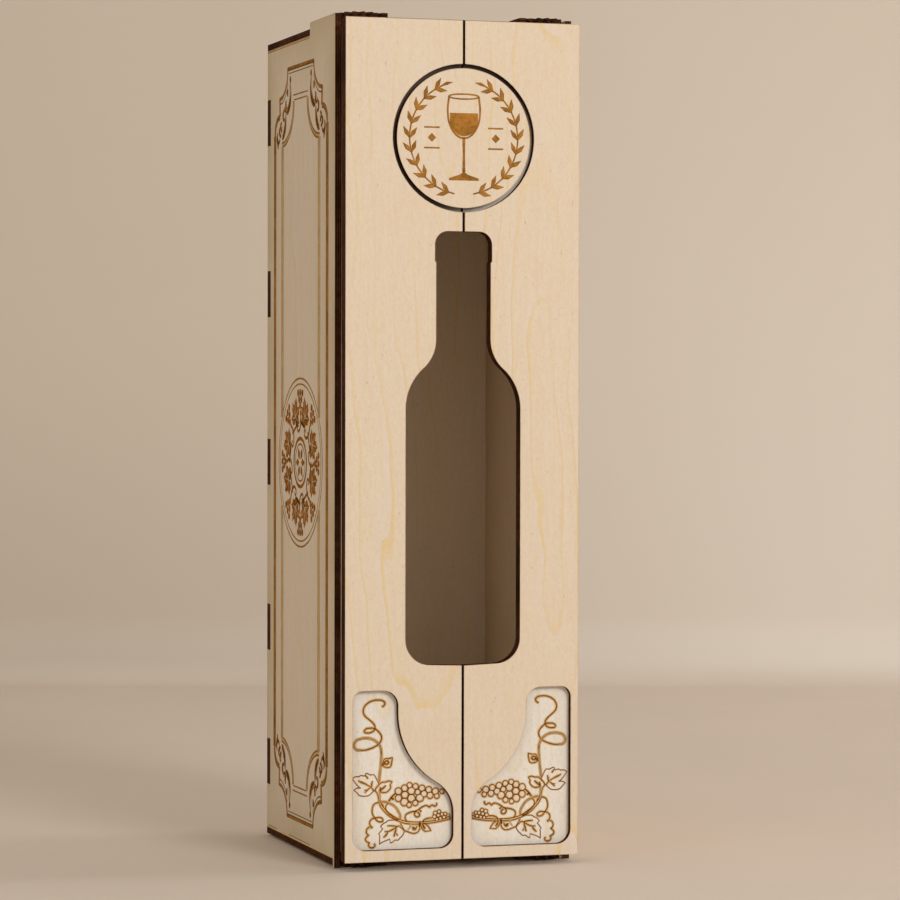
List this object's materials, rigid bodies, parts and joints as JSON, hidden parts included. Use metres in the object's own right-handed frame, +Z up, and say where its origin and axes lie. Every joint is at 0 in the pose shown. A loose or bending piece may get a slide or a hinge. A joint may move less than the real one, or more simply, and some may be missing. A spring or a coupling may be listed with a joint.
{
  "type": "bottle box",
  "caption": "Upright laser-cut plywood box for one wine bottle, with layered front doors that open together on geared hinges joined by sliding racks.",
  "frame": {"origin": "centre of the bounding box on the table under the box", "axes": "+Z up, -Y towards the front of the doors, +X towards the right door as seen from the front"},
  "size_m": [0.1118, 0.136, 0.3842],
  "materials": {
    "case_ply": "bare birch plywood, laser cut",
    "door_ply": "bare birch plywood, laser cut",
    "door_lining": "pale bare birch plywood, laser cut",
    "medallion": "bare birch plywood, laser engraved",
    "burnt_ply": "birch plywood darkened by the laser",
    "dowel": "plain dowel",
    "card": "thin hardboard washer"
  },
  "bodies": {
    "case": {"left_side": "case_ply", "right_side": "case_ply", "back_outer_panel": "case_ply", "back_inner_panel": "case_ply", "top_plate": "case_ply", "floor_plate": "case_ply", "base_plate": "case_ply", "left_top_washer": "card", "left_bottom_washer": "card", "right_top_washer": "card", "right_bottom_washer": "card", "top_rack_washers": "card", "bottom_rack_washers": "card", "top_guide_pins": "dowel", "bottom_guide_pins": "dowel"},
    "left_door": {"left_door_front": "door_ply", "left_door_back": "door_lining", "medallion": "medallion", "left_top_arm": "case_ply", "left_bottom_arm": "case_ply", "left_top_pin": "dowel", "left_bottom_pin": "dowel", "left_top_gear": "burnt_ply", "left_bottom_gear": "burnt_ply"},
    "right_door": {"right_door_front": "door_ply", "right_door_back": "door_lining", "right_top_arm": "case_ply", "right_bottom_arm": "case_ply", "right_top_pin": "dowel", "right_bottom_pin": "dowel", "right_top_gear": "burnt_ply", "right_bottom_gear": "burnt_ply"},
    "top_rack_body": {"top_rack": "burnt_ply"},
    "bottom_rack_body": {"bottom_rack": "burnt_ply"}
  },
  "joints": [
    {"name": "left_door_hinge", "type": "hinge", "parent": "case", "child": "left_door", "pos_m": [-0.0436, -0.04821, 0.192], "axis": [0, 0, -1], "range_deg": [0, 90]},
    {"name": "right_door_hinge", "type": "hinge", "parent": "case", "child": "right_door", "pos_m": [0.0436, -0.04821, 0.192], "axis": [0, 0, 1], "range_deg": [0, 90]},
    {"name": "top_rack_slide", "type": "slide", "parent": "case", "child": "top_rack_body", "axis": [0, -1, 0], "range_m": [0, 0.01212]},
    {"name": "bottom_rack_slide", "type": "slide", "parent": "case", "child": "bottom_rack_body", "axis": [0, -1, 0], "range_m": [0, 0.01212]}
  ],
  "couplings": [
    {"joint": "right_door_hinge", "follows": "left_door_hinge", "ratio": 1},
    {"joint": "top_rack_slide", "follows": "left_door_hinge", "m_per_rad": 0.0077143},
    {"joint": "bottom_rack_slide", "follows": "left_door_hinge", "m_per_rad": 0.0077143}
  ]
}
